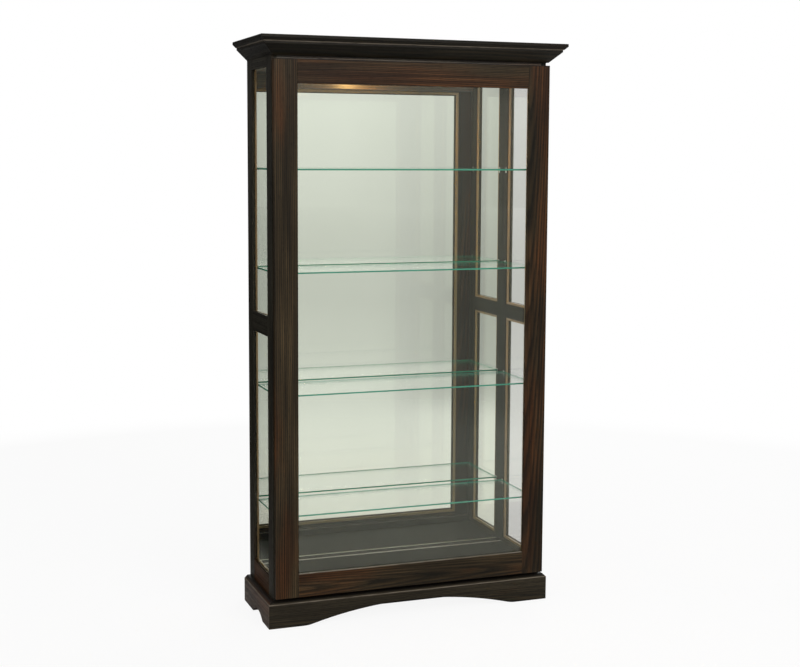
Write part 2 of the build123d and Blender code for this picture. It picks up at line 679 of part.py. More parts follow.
for rail, (rail_bottom, rail_top) in DOOR_RAILS.items():
    slide_z = LOWER_SLIDE_Z if rail_bottom == DOOR_BOTTOM else UPPER_SLIDE_Z
    with BuildPart() as door_rail:
        block((-DOOR_SIGHT_X, DOOR_FRONT_Y, rail_bottom), (DOOR_SIGHT_X, DOOR_BACK_Y, rail_top))
        fillet(door_rail.edges().filter_by(Axis.X).group_by(Axis.Y)[0], radius=EASE)
        cut_door_pocket()
        door_tenons(rail_bottom, rail_top)
        for x in SLIDE_SCREW_XS:
            start = (x, DOOR_BACK_Y, slide_z)
            depth = DOOR_SCREW_BITE + HOLE_SPARE
            rod(start, (0, -1, 0), SCREW_HOLE_RADIUS, depth, mode=Mode.SUBTRACT)
    save(door_rail, rail)

DOOR_GLASS_BACK_Y = DOOR_POCKET_Y + DOOR_GLASS
DOOR_GLASS_MARGIN = DOOR_RABBET - GLASS_PLAY
DOOR_GLASS_X = DOOR_SIGHT_X + DOOR_GLASS_MARGIN
DOOR_MIDDLE_Z = (DOOR_SIGHT_BOTTOM + DOOR_SIGHT_TOP) / 2
DOOR_STRIP_WIDTH = DOOR_RABBET - DOOR_STRIP_SET_BACK
DOOR_STRIPS_ROUND_X = 2 * (DOOR_SIGHT_X + DOOR_STRIP_SET_BACK)
DOOR_STRIPS_ROUND_Z = DOOR_SIGHT_TOP - DOOR_SIGHT_BOTTOM + 2 * DOOR_STRIP_SET_BACK

with BuildPart() as door_glass:
    glass_low = (-DOOR_GLASS_X, DOOR_POCKET_Y, DOOR_SIGHT_BOTTOM - DOOR_GLASS_MARGIN)
    glass_high = (DOOR_GLASS_X, DOOR_GLASS_BACK_Y, DOOR_SIGHT_TOP + DOOR_GLASS_MARGIN)
    block(glass_low, glass_high)
save(door_glass, "door_glass")

with BuildPart() as door_glass_retainers:
    face = Plane(origin=(0, DOOR_GLASS_BACK_Y, DOOR_MIDDLE_Z), x_dir=(-1, 0, 0), z_dir=(0, 1, 0))
    mitred_strips(face, DOOR_STRIPS_ROUND_X, DOOR_STRIPS_ROUND_Z, DOOR_STRIP_WIDTH, RETAINER)
save(door_glass_retainers, "door_glass_retainers")

# ---- Slides -----------------------------------------------------------------------------------

# Sections of the three telescoping members: (distance in front of the body, half height).
FIXED_HALF = 22.5
FIXED_REACH = 9.6
BALL_TRACK = 4.8
MIDDLE_HALF = FIXED_HALF - SLIDE_SHEET - BALL_TRACK
MIDDLE_WEB = 3.2
MIDDLE_REACH = 11.0
DOOR_HALF = MIDDLE_HALF - SLIDE_SHEET - BALL_TRACK
DOOR_FLANGE_START = 5.5


def channel(z, web_start, half_height, flange_low, flange_high):
    """A folded steel channel along the slide; web_start and flanges are distances before the body."""
    half = SLIDE_LENGTH / 2
    web_y = sorted((FRONT_Y - web_start, FRONT_Y - web_start - SLIDE_SHEET))
    block((-half, web_y[0], z - half_height), (half, web_y[1], z + half_height))
    for edge in (-1, 1):
        zs = sorted((z + edge * half_height, z + edge * (half_height - SLIDE_SHEET)))
        block((-half, FRONT_Y - flange_high, zs[0]), (half, FRONT_Y - flange_low, zs[1]))


def member_holes(z):
    """The screw holes through a slide member."""
    for x in SLIDE_SCREW_XS:
        start = (x, FRONT_Y - SLIDE_SPACE, z)
        rod(start, (0, 1, 0), SCREW_HOLE_RADIUS, SLIDE_SPACE, mode=Mode.SUBTRACT)


for place, slide_z in (("upper", UPPER_SLIDE_Z), ("lower", LOWER_SLIDE_Z)):
    with BuildPart() as fixed_member:
        channel(slide_z, 0, FIXED_HALF, 0, FIXED_REACH)
        member_holes(slide_z)
    save(fixed_member, f"{place}_slide_cabinet_member")
    with BuildPart() as middle_member:
        channel(slide_z, MIDDLE_WEB, MIDDLE_HALF, MIDDLE_WEB, MIDDLE_REACH)
    save(middle_member, f"{place}_slide_middle_member")
    with BuildPart() as door_member:
        channel(slide_z, SLIDE_SPACE - SLIDE_SHEET, DOOR_HALF, DOOR_FLANGE_START, SLIDE_SPACE)
        member_holes(slide_z)
    save(door_member, f"{place}_slide_door_member")

with BuildPart() as cabinet_slide_screws:
    for slide_z in (UPPER_SLIDE_Z, LOWER_SLIDE_Z):
        for x in SLIDE_SCREW_XS:
            rod((x, FRONT_Y - SLIDE_SHEET, slide_z), (0, 1, 0), SCREW_RADIUS, SCREW_BITE)
            rod((x, FRONT_Y - SLIDE_SHEET, slide_z), (0, -1, 0), SCREW_HEAD_RADIUS, SCREW_HEAD)
save(cabinet_slide_screws, "cabinet_slide_screws")

with BuildPart() as door_slide_screws:
    for slide_z in (UPPER_SLIDE_Z, LOWER_SLIDE_Z):
        for x in SLIDE_SCREW_XS:
            head_y = DOOR_BACK_Y + SLIDE_SHEET
            rod((x, head_y, slide_z), (0, -1, 0), SCREW_RADIUS, DOOR_SCREW_BITE)
            rod((x, head_y, slide_z), (0, 1, 0), SCREW_HEAD_RADIUS, SCREW_HEAD)
save(door_slide_screws, "door_slide_screws")

# The rows of balls run in the tracks between the members, spaced by flat steel cages.
CAGE_SHEET = 0.9
CAGE_HOLE_RADIUS = 2.4
TRACKS = {
    "slide_outer_ball_cages": (FIXED_HALF - SLIDE_SHEET - BALL_TRACK / 2, (3.4, 9.2), 6.3),
    "slide_inner_ball_cages": (MIDDLE_HALF - SLIDE_SHEET - BALL_TRACK / 2, (5.7, 10.7), 8.2),
}
BALL_PITCH = CAGE_LENGTH / BALLS_PER_ROW
BALL_XS = [(index - (BALLS_PER_ROW - 1) / 2) * BALL_PITCH for index in range(BALLS_PER_ROW)]

for cages, (track_half, (strip_low, strip_high), ball_line) in TRACKS.items():
    with BuildPart() as ball_cages:
        for slide_z in (UPPER_SLIDE_Z, LOWER_SLIDE_Z):
            for edge in (-1, 1):
                row_z = slide_z + edge * track_half
                low = (-CAGE_LENGTH / 2, FRONT_Y - strip_high, row_z - CAGE_SHEET / 2)
                block(low, (CAGE_LENGTH / 2, FRONT_Y - strip_low, row_z + CAGE_SHEET / 2))
        ball_places = [
            (x, FRONT_Y - ball_line, slide_z + edge * track_half)
            for slide_z in (UPPER_SLIDE_Z, LOWER_SLIDE_Z)
            for edge in (-1, 1)
            for x in BALL_XS
        ]
        with Locations(*ball_places):
            Cylinder(CAGE_HOLE_RADIUS, 2 * CAGE_SHEET, mode=Mode.SUBTRACT)
            Sphere(BALL_RADIUS)
    save(ball_cages, cages)
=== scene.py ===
"""Looks of the sliding-front curio cabinet: finishes, detailed screws, studio and camera."""

import math

import bmesh
import bpy
from mathutils import Matrix, Vector


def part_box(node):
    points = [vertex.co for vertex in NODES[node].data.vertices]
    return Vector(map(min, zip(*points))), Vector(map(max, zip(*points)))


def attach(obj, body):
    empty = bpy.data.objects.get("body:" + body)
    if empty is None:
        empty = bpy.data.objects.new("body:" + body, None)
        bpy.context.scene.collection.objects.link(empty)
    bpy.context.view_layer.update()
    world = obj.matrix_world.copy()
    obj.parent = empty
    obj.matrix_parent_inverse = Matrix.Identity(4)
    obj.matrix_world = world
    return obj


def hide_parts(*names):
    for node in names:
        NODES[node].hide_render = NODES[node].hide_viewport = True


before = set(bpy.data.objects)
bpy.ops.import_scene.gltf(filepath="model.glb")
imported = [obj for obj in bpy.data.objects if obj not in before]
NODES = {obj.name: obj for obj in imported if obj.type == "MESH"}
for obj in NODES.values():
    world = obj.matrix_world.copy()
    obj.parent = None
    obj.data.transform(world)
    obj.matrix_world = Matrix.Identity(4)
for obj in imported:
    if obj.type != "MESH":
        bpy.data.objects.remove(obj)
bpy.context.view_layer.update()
scene = bpy.context.scene

WHITE = (1.0, 1.0, 1.0, 1.0)
AXES = "xyz"


# ---- Node helpers -----------------------------------------------------------------------------


class Tree:
    """A node tree with short ways to add and join nodes."""

    def __init__(self, tree):
        self.tree = tree
        self.tree.nodes.clear()

    def add(self, kind, inputs=None, **settings):
        """A new node; inputs holds values and sockets by input name or number."""
        node = self.tree.nodes.new("ShaderNode" + kind)
        for key, value in settings.items():
            setattr(node, key, value)
        for key, value in (inputs or {}).items():
            self.put(node.inputs[key], value)
        return node

    def put(self, socket, value):
        """Link a socket into another, or set its value."""
        if isinstance(value, bpy.types.NodeSocket):
            self.tree.links.new(value, socket)
        else:
            socket.default_value = value

    def math(self, operation, *values):
        return self.add("Math", dict(enumerate(values)), operation=operation).outputs[0]

    def ramp(self, value, low, high, to_low=0.0, to_high=1.0, smooth=True):
        """value from low..high to to_low..to_high, held at both ends."""
        kind = "SMOOTHSTEP" if smooth else "LINEAR"
        inputs = {0: value, 1: low, 2: high, 3: to_low, 4: to_high}
        return self.add("MapRange", inputs, interpolation_type=kind).outputs[0]

    def mix(self, share, first, second, blend="MIX"):
        """A mix of two colours."""
        node = self.add("Mix", data_type="RGBA", blend_type=blend)
        for socket, value in zip((node.inputs[0], node.inputs[6], node.inputs[7]), (share, first, second)):
            self.put(socket, value)
        return node.outputs[2]

    def blend(self, share, first, second):
        """A mix of two shaders."""
        return self.add("MixShader", {0: share, 1: first, 2: second}).outputs[0]

    def bump(self, height, strength, distance):
        """A surface raised by the height, which is a distance in metres where it is 1."""
        inputs = {"Strength": strength, "Distance": distance, "Height": height}
        return self.add("Bump", inputs).outputs[0]

    def vector(self, x, y, z):
        return self.add("CombineXYZ", {0: x, 1: y, 2: z}).outputs[0]

    def noise(self, vector, detail=2.0, roughness=0.5):
        inputs = {"Vector": vector, "Scale": 1.0, "Detail": detail, "Roughness": roughness}
        return self.add("TexNoise", inputs).outputs[0]

    def steps(self, share, *stops):
        """A colour ramp through (share, colour) stops."""
        node = self.add("ValToRGB", {0: share})
        elements = node.color_ramp.elements
        while len(elements) < len(stops):
            elements.new(0.5)
        for element, (position, colour) in zip(elements, stops):
            element.position = position
            element.color = (*colour, 1.0)
        return node.outputs[0]

    def place(self):
        """The three coordinates of the piece's own frame, in metres."""
        coordinates = self.add("TexCoord").outputs["Object"]
        return list(self.add("SeparateXYZ", {0: coordinates}).outputs)

    def facing(self):
        """0 where a surface is seen head on, 1 at its outline."""
        return self.add("LayerWeight", {"Blend": 0.5}).outputs["Facing"]

    def directly_seen(self):
        """1 on rays from the camera that have passed no glass."""
        path = self.add("LightPath").outputs
        unhindered = self.math("LESS_THAN", path["Transparent Depth"], 0.5)
        return self.math("MULTIPLY", path["Is Camera Ray"], unhindered)

    def reflected(self):
        """1 on every ray that has left a surface, 0 on rays from the camera."""
        return self.math("SUBTRACT", 1.0, self.add("LightPath").outputs["Is Camera Ray"])


def material(name):
    """A new empty material, as (material, Tree)."""
    made = bpy.data.materials.new(name)
    made.use_nodes = True
    return made, Tree(made.node_tree)


def surface(tree, shader):
    """Make the shader the tree's surface."""
    tree.add("OutputMaterial", {"Surface": shader})


def principled(tree, inputs):
    surface(tree, tree.add("BsdfPrincipled", inputs).outputs[0])


# ---- Wood -------------------------------------------------------------------------------------

# Stops of one growth ring: pores full of dark stain first, then the smoother late wood.
STAINED_RING = (
    (0.0, (0.0120, 0.0092, 0.0050)),
    (0.28, (0.0165, 0.0120, 0.0060)),
    (0.60, (0.0320, 0.0208, 0.0096)),
    (0.88, (0.0285, 0.0195, 0.0094)),
    (1.0, (0.0125, 0.0096, 0.0052)),
)
RED_STAIN = (1.60, 0.92, 0.60, 1.0)
GREY_STAIN = (0.0200, 0.0205, 0.0160, 1.0)
PORE_STAIN = (0.0035, 0.0028, 0.0022, 1.0)
# Painted shade: the near black the stain turns to where shade falls under the part above.
PAINTED_SHADE_COLOUR = (0.003, 0.0026, 0.0022, 1.0)
# Painted highlight along an arris that catches the light.
PAINTED_HIGHLIGHT_COLOUR = (0.19, 0.16, 0.125, 1.0)
# How fast the painted shade sets in, in metres.
PAINTED_SHADE_FADE = 0.001
RING_WANDER = 0.03
RING_WAVE = 0.0035
# How fast each mark of the wood changes along, across and through a board.
WANDER_SCALES = (0.9, 5.0, 5.0)
WAVE_SCALES = (6.0, 90.0, 90.0)
STREAK_SCALES = (1.8, 150.0, 150.0)
PATCH_SCALES = (2.2, 14.0, 14.0)
BLUSH_SCALES = (1.6, 9.0, 9.0)
PORE_SCALES = (40.0, 700.0, 700.0)
HIGHLIGHT_BREAKUP_SCALES = (18.0, 300.0, 300.0)
DECK_FIBRE_SCALES = (22.0, 520.0, 520.0)
DECK_BAND_SCALES = (3.0, 60.0, 60.0)
# How far below the deck's face its plate groove begins to take its painted highlight, and takes it fully.
GROOVE_LIP = 0.0002
GROOVE_SIDE = 0.0008


def middle_of(node):
    low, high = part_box(node)
    return (low + high) / 2


def board_axes(tree, grain, middle):
    """Coordinates along, across and through a board, in metres from its middle."""
    place = tree.place()
    axes = [AXES.index(axis) for axis in grain]
    return [tree.math("SUBTRACT", place[axis], middle[axis]) for axis in axes]


def stretched(tree, coordinates, scales, shift=0.0):
    """A vector of the coordinates, each on its own scale, for a noise that is long along the grain."""
    scaled = [tree.math("MULTIPLY_ADD", value, scale, shift) for value, scale in zip(coordinates, scales)]
    return tree.vector(*scaled)


def log_rings(tree, board, seed, ring, heart, aside, tilt):
    """The growth rings of a board sawn from a log, as a value from 0 to 1 within each ring.

    heart and aside are how far the log's middle lies behind the face and beside the board, and
    tilt how much the log leans against the board, which draws the arches.
    """
    along, across, through = board
    wander = tree.noise(stretched(tree, board, WANDER_SCALES, seed))
    wave = tree.noise(stretched(tree, board, WAVE_SCALES, seed + 3.7), detail=3.0)
    shifted = tree.math("MULTIPLY_ADD", wander, RING_WANDER, aside - RING_WANDER / 2)
    side = tree.math("ADD", across, shifted)
    depth = tree.math("MULTIPLY_ADD", along, tilt, tree.math("ADD", through, heart))
    squares = tree.math("MULTIPLY_ADD", side, side, tree.math("MULTIPLY", depth, depth))
    radius = tree.math("MULTIPLY_ADD", wave, RING_WAVE, tree.math("SQRT", squares))
    return tree.math("FRACT", tree.math("DIVIDE", radius, ring))


def stained_oak(
    name, grain, middle, seed, heart=0.08, aside=0.16, tilt=0.006, ring=0.0065, depth=1.0, red=0.5,
    grey=0.0, highlight_edge=None, shade_above=None, rough=0.42, shine=0.11,
):
    """Open-grained oak under a near-black brown satin stain.

    grain names the axes along, across and through the board. depth scales the colour, red and
    grey say how much of it is reddish or cool, highlight_edge is the (height, width) of a painted
    highlight along an arris, and shade_above is the height above which painted shade darkens it.
    """
    made, tree = material(name)
    board = board_axes(tree, grain, middle)
    ring_share = log_rings(tree, board, seed, ring, heart, aside, tilt)
    rings = tree.steps(ring_share, *STAINED_RING)
    streaks = tree.noise(stretched(tree, board, STREAK_SCALES, seed), detail=3.0, roughness=0.7)
    patches = tree.noise(stretched(tree, board, PATCH_SCALES, seed + 9.1))
    strength = tree.math(
        "MULTIPLY",
        tree.ramp(streaks, 0.34, 0.66, 0.55 * depth, 1.45 * depth),
        tree.ramp(patches, 0.32, 0.68, 0.70, 1.35),
    )
    stained = tree.mix(grey, rings, GREY_STAIN)
    coloured = tree.add("VectorMath", {0: stained, "Scale": strength}, operation="SCALE").outputs[0]
    blush = tree.noise(stretched(tree, board, BLUSH_SCALES, seed + 21.0), detail=3.0)
    reddish = tree.mix(1.0, coloured, RED_STAIN, blend="MULTIPLY")
    coloured = tree.mix(tree.ramp(blush, 0.62 - 0.3 * red, 0.80 - 0.2 * red), coloured, reddish)
    pore_field = tree.noise(stretched(tree, board, PORE_SCALES), detail=1.0)
    early = tree.ramp(ring_share, 0.6, 0.05)
    pores = tree.math(
        "MULTIPLY", tree.ramp(pore_field, 0.54, 0.64), tree.math("MULTIPLY_ADD", early, 0.7, 0.3)
    )
    colour = tree.mix(tree.math("MULTIPLY", pores, 0.75), coloured, PORE_STAIN)
    above_floor = tree.place()[2]
    # Painted shade: near black above this height, where shade falls under the part above.
    if shade_above:
        low, high = shade_above - PAINTED_SHADE_FADE, shade_above + PAINTED_SHADE_FADE
        colour = tree.mix(tree.ramp(above_floor, low, high, 0.0, 0.8), colour, PAINTED_SHADE_COLOUR)
    # Painted highlight: a lighter line along an arris where it catches the light, broken up by noise.
    if highlight_edge:
        at, width = highlight_edge
        off = tree.math("ABSOLUTE", tree.math("SUBTRACT", above_floor, at))
        highlight_breakup = tree.noise(stretched(tree, board, HIGHLIGHT_BREAKUP_SCALES, seed), detail=3.0)
        painted_highlight = tree.math("MULTIPLY", tree.ramp(off, width, 0.0), tree.ramp(highlight_breakup, 0.3, 0.6, 0.25, 0.85))
        colour = tree.mix(painted_highlight, colour, PAINTED_HIGHLIGHT_COLOUR)
    roughness = tree.math(
        "ADD", tree.ramp(streaks, 0.3, 0.7, rough + 0.05, rough - 0.05), tree.math("MULTIPLY", pores, 0.3)
    )
    height = tree.math("SUBTRACT", tree.math("MULTIPLY", ring_share, 0.2), pores)
    inputs = {"Base Color": colour, "Roughness": roughness, "Specular IOR Level": shine}
    principled(tree, {**inputs, "Normal": tree.bump(height, 0.35, 0.0003)})
    return made


def inside_deck(node):
    """The stained deck: matt, so that it hardly mirrors the room, with a glossier plate groove coloured
    light as a painted highlight.
    """
    made, tree = material("deck_finish")
    low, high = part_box(node)
    board = board_axes(tree, "xyz", middle_of(node))
    fibres = tree.noise(stretched(tree, board, DECK_FIBRE_SCALES), detail=4.0, roughness=0.6)
    bands = tree.noise(stretched(tree, board, DECK_BAND_SCALES, 4.0), detail=3.0)
    shade = tree.math("MULTIPLY_ADD", bands, 0.4, tree.math("MULTIPLY", fibres, 0.6))
    colour = tree.steps(
        shade,
        (0.34, (0.005, 0.005, 0.0042)),
        (0.50, (0.0085, 0.0084, 0.007)),
        (0.66, (0.014, 0.0138, 0.0115)),
    )
    face = (high.z - low.z) / 2
    in_groove = tree.ramp(board[2], face - GROOVE_LIP, face - GROOVE_SIDE)
    matt = tree.add(
        "BsdfPrincipled",
        {
            "Base Color": colour,
            "Roughness": tree.ramp(fibres, 0.3, 0.7, 0.85, 0.7),
            "Normal": tree.bump(fibres, 0.15, 0.0002),
            "Specular IOR Level": 0.06,
        },
    )
    # Painted highlight: the groove is coloured light, for the line of light its curve catches.
    painted_highlight = tree.steps(fibres, (0.3, (0.20, 0.185, 0.155)), (0.7, (0.30, 0.28, 0.24)))
    lit_groove = tree.add(
        "BsdfPrincipled",
        {"Base Color": painted_highlight, "Roughness": tree.ramp(fibres, 0.3, 0.7, 0.34, 0.24), "IOR": 1.5},
    )
    surface(tree, tree.blend(in_groove, matt.outputs[0], lit_groove.outputs[0]))
    return made


def give(node, made):
    """Put a finish on a CAD node."""
    slots = NODES[node].material_slots
    if slots:
        for slot in slots:
            slot.link = "OBJECT"
            slot.material = made
    else:
        NODES[node].data.materials.append(made)


# Heights of the arrises of the base's bevel, of the crown's step and of the door's sill.
BASE_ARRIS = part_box("base_front")[1].z - 0.0104
CROWN_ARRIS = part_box("crown_front")[1].z - 0.0205
SILL_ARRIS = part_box("door_bottom_rail")[1].z - 0.0006
# Painted shade on the top 3 mm of the door's frame, for the shadow gap under the crown.
DOOR_TOP_SHADE = {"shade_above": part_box("door_top_rail")[1].z - 0.0030}

# The base's boards get a painted highlight along the bevel's arris and painted shade on the bevel above
# it, under the door.
BASE_EDGE_LIGHT_AND_SHADE = {"highlight_edge": (BASE_ARRIS, 0.0030), "shade_above": BASE_ARRIS + 0.0055}
BASE_FRONT = {"heart": 0.07, "aside": 0.05, "tilt": 0.02, "ring": 0.004, "red": 0.2, "depth": 0.78}
# CROWN gives the crown's step a painted highlight along its arris.
CROWN = {"depth": 0.42, "ring": 0.004, "red": 0.1, "grey": 0.4, "highlight_edge": (CROWN_ARRIS, 0.0026)}
SIDE_FRAME = {"depth": 0.8, "red": 0.05, "grey": 0.65}
SIDE_BOTTOM_RAIL = {"depth": 1.15, "red": 0.9, "shine": 0.04}
RIGHT_STILE = {"heart": 0.1, "aside": 0.04, "tilt": -0.035, "red": 0.85, "depth": 0.82}
TOP_RAIL = {"heart": 0.05, "aside": 0.07, "tilt": 0.012, "ring": 0.005, "red": 0.9}
SILL = {"heart": 0.045, "aside": 0.01, "tilt": 0.03, "red": 0.7, "depth": 0.98}

# (node, axes along, across and through the board, other settings of the board)
BOARDS = [
    ("door_left_stile", "zxy", {"red": 0.5, "depth": 1.12, **DOOR_TOP_SHADE}),
    ("door_right_stile", "zxy", {**RIGHT_STILE, **DOOR_TOP_SHADE}),
    ("door_top_rail", "xzy", {**TOP_RAIL, **DOOR_TOP_SHADE}),
    # The sill gets a painted highlight along its arris.
    ("door_bottom_rail", "xzy", {**SILL, "highlight_edge": (SILL_ARRIS, 0.0026)}),
    ("front_top_rail", "xzy", {"rough": 0.34, "depth": 2.0, "shine": 0.5}),
    ("front_bottom_rail", "xzy", {"depth": 0.5}),
    ("crown_front", "xzy", CROWN),
    ("crown_left", "yzx", CROWN),
    ("crown_right", "yzx", CROWN),
    ("crown_backer", "xzy", {"depth": 0.4}),
    ("base_front", "xzy", {**BASE_FRONT, "grey": 0.35, **BASE_EDGE_LIGHT_AND_SHADE}),
    ("base_left", "yzx", {"depth": 1.0, "red": 1.3, "shine": 0.25, **BASE_EDGE_LIGHT_AND_SHADE}),
    ("base_right", "yzx", {"depth": 0.8, **BASE_EDGE_LIGHT_AND_SHADE}),
    ("ceiling_panel", "xyz", {"heart": 0.2, "ring": 0.01}),
    ("back_bottom_rail", "xzy", {}),
]
for side in ("left", "right"):
    BOARDS += [
        (f"{side}_front_stile", "zyx", SIDE_FRAME),
        (f"{side}_back_stile", "zyx", SIDE_FRAME),
        (f"{side}_top_rail", "yzx", SIDE_FRAME),
        (f"{side}_middle_rail", "yzx", SIDE_FRAME),
        (f"{side}_bottom_rail", "yzx", SIDE_BOTTOM_RAIL),
    ]

FIRST_SEED = 1.7
SEED_STEP = 5.3  # so that no two boards share a figure
for number, (node, grain, settings) in enumerate(BOARDS):
    seed = FIRST_SEED + SEED_STEP * number
    give(node, stained_oak(f"oak_{node}", grain, middle_of(node), seed, **settings))
give("deck_panel", inside_deck("deck_panel"))


# ---- Other finishes ---------------------------------------------------------------------------


def back_plywood():
    """Thin stained plywood, matte, with a wide rotary-cut figure up the panel."""
    made, tree = material("back_plywood")
    place = tree.place()
    sweep = tree.noise(stretched(tree, place, (5.0, 0.0, 1.1)), detail=3.0)
    bands = tree.math("FRACT", tree.math("MULTIPLY", sweep, 16.0))
    fibres = tree.noise(stretched(tree, place, (420.0, 420.0, 9.0)), detail=3.0)
    colour = tree.steps(
        tree.math("MULTIPLY_ADD", fibres, 0.7, tree.math("MULTIPLY", bands, 0.3)),
        (0.2, (0.030, 0.019, 0.013)),
        (0.5, (0.075, 0.048, 0.033)),
        (0.8, (0.115, 0.078, 0.052)),
    )
    bump = tree.bump(fibres, 0.3, 0.0002)
    roughness = tree.ramp(fibres, 0.2, 0.8, 0.8, 0.62)
    principled(tree, {"Base Color": colour, "Roughness": roughness, "Normal": bump})
    return made


def raw_blocks():
    """Unstained hardwood of the blocks inside the base."""
    made, tree = material("raw_blocks")
    rings = tree.noise(stretched(tree, tree.place(), (140.0, 30.0, 140.0)), detail=4.0)
    colour = tree.steps(rings, (0.3, (0.42, 0.28, 0.15)), (0.6, (0.58, 0.42, 0.25)))
    bump = tree.bump(rings, 0.3, 0.0002)
    roughness = tree.ramp(rings, 0.2, 0.8, 0.75, 0.6)
    principled(tree, {"Base Color": colour, "Roughness": roughness, "Normal": bump})
    return made


FIBRE_ALONG = 15.0
FIBRE_ACROSS = 300.0


def retainer_wood(node, flat_axes):
    """Tan mitred strips in a frame that lies in flat_axes; the grain follows each strip."""
    made, tree = material(f"strip_{node}")
    low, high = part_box(node)
    place = tree.place()
    first, second = (AXES.index(axis) for axis in flat_axes)
    inward = []
    for axis in (first, second):
        centred = tree.math("SUBTRACT", place[axis], (low[axis] + high[axis]) / 2)
        inward.append(tree.math("SUBTRACT", (high[axis] - low[axis]) / 2, tree.math("ABSOLUTE", centred)))
    lies_along_second = tree.math("LESS_THAN", inward[0], inward[1])
    lies_along_first = tree.math("SUBTRACT", 1.0, lies_along_second)
    scales = [FIBRE_ACROSS] * 3
    for axis, share in ((first, lies_along_first), (second, lies_along_second)):
        scales[axis] = tree.math("MULTIPLY_ADD", share, FIBRE_ALONG - FIBRE_ACROSS, FIBRE_ACROSS)
    fibres = tree.noise(stretched(tree, place, scales), detail=3.0)
    colour = tree.steps(
        fibres,
        (0.25, (0.13, 0.085, 0.038)),
        (0.5, (0.25, 0.170, 0.080)),
        (0.75, (0.34, 0.245, 0.13)),
    )
    bump = tree.bump(fibres, 0.15, 0.0002)
    roughness = tree.ramp(fibres, 0.2, 0.8, 0.34, 0.22)
    principled(tree, {"Base Color": colour, "Roughness": roughness, "Normal": bump})
    return made


PANE_TINT = (0.979, 0.979, 0.9755, 1.0)
PANE_SHINE = (0.93, 0.97, 0.84, 1.0)
SHELF_TINT = (0.978, 0.988, 0.982, 1.0)
EDGE_GLOW = (0.015, 0.17, 0.105, 1.0)
GLASS_REFLECTANCE = 0.042  # of each face, seen head on
PANE_RISE = 6.0  # how late the panes' reflection rises towards their outline
SHELF_RISE = 5.0


def clear_glass(tree, tint, shine, rise):
    """Clear flat glass: what is behind it, a little tinted, under a sharp reflection."""
    rim = tree.math("POWER", tree.facing(), rise)
    share = tree.math("MULTIPLY_ADD", rim, 1.0 - GLASS_REFLECTANCE, GLASS_REFLECTANCE)
    through = tree.add("BsdfTransparent", {"Color": tint})
    mirrored = tree.add("BsdfGlossy", {"Roughness": 0.0, "Color": shine})
    return tree.blend(share, through.outputs[0], mirrored.outputs[0])


def pane():
    made, tree = material("window_glass")
    surface(tree, clear_glass(tree, PANE_TINT, PANE_SHINE, PANE_RISE))
    return made


def shelf_glass():
    """Clear glass whose polished edges gather its green, and glow with painted light."""
    made, tree = material("shelf_glass")
    clear = clear_glass(tree, SHELF_TINT, WHITE, SHELF_RISE)
    streaks = tree.noise(stretched(tree, tree.place(), (14.0, 14.0, 300.0)))
    green = tree.steps(streaks, (0.3, (0.012, 0.16, 0.105)), (0.7, (0.025, 0.24, 0.16)))
    # The edges' emission is painted light, for the light carried along the glass.
    edge = tree.add(
        "BsdfPrincipled",
        {
            "Base Color": green,
            "Roughness": 0.12,
            "Specular IOR Level": 0.3,
            "Emission Color": EDGE_GLOW,
            "Emission Strength": 0.2,
        },
    )
    normal = tree.add("SeparateXYZ", {0: tree.add("NewGeometry").outputs["True Normal"]}).outputs[2]
    upright = tree.ramp(tree.math("ABSOLUTE", normal), 0.75, 0.6)
    surface(tree, tree.blend(upright, clear, edge.outputs[0]))
    return made


def silvered_glass():
    """The mirror: a faint green from its glass, and a very slight unevenness of the silver."""
    made, tree = material("silvered_glass")
    cloud = tree.noise(stretched(tree, tree.place(), (3.0, 0.0, 3.0)))
    colour = tree.steps(cloud, (0.3, (0.890, 0.943, 0.837)), (0.7, (0.905, 0.957, 0.855)))
    roughness = tree.ramp(cloud, 0.3, 0.7, 0.004, 0.01)
    principled(tree, {"Base Color": colour, "Metallic": 1.0, "Roughness": roughness})
    return made


MARKS_ACROSS = 900.0
MARKS_ALONG = 12.0
BLOTCHES = 40.0
UNEVENNESS = 0.06
PLASTIC_GRAIN = 600.0


def metal(name, colour, roughness, brushed=None):
    """Plated or unplated metal, with fine marks along the brushed axis, or an even mottle."""
    made, tree = material(name)
    place = tree.place()
    scales = [MARKS_ALONG if axis == brushed else MARKS_ACROSS for axis in AXES]
    marks = tree.noise(stretched(tree, place, scales))
    blotches = tree.noise(stretched(tree, place, [BLOTCHES] * 3))
    darker = tuple(value * 0.8 for value in colour)
    shade = tree.steps(blotches, (0.3, darker), (0.7, colour))
    roughened = tree.math(
        "ADD",
        tree.ramp(marks, 0.3, 0.7, roughness - UNEVENNESS, roughness + UNEVENNESS),
        tree.ramp(blotches, 0.3, 0.7, 0.0, 0.05),
    )
    bump = tree.bump(marks, 0.1, 0.0001)
    principled(tree, {"Base Color": shade, "Metallic": 1.0, "Roughness": roughened, "Normal": bump})
    return made


def plastic(name, colour, roughness):
    """Moulded plastic, rubber or board with a fine grain."""
    made, tree = material(name)
    fine = tree.noise(stretched(tree, tree.place(), [PLASTIC_GRAIN] * 3), detail=3.0)
    darker = tuple(value * 0.82 for value in colour)
    shade = tree.steps(fine, (0.3, darker), (0.7, colour))
    bump = tree.bump(fine, 0.15, 0.0001)
    roughened = tree.ramp(fine, 0.3, 0.7, roughness + 0.05, roughness - 0.05)
    principled(tree, {"Base Color": shade, "Roughness": roughened, "Normal": bump})
    return made


LENS_MIDDLE_GLOW = 9.0
LENS_RIM_GLOW = 5.0


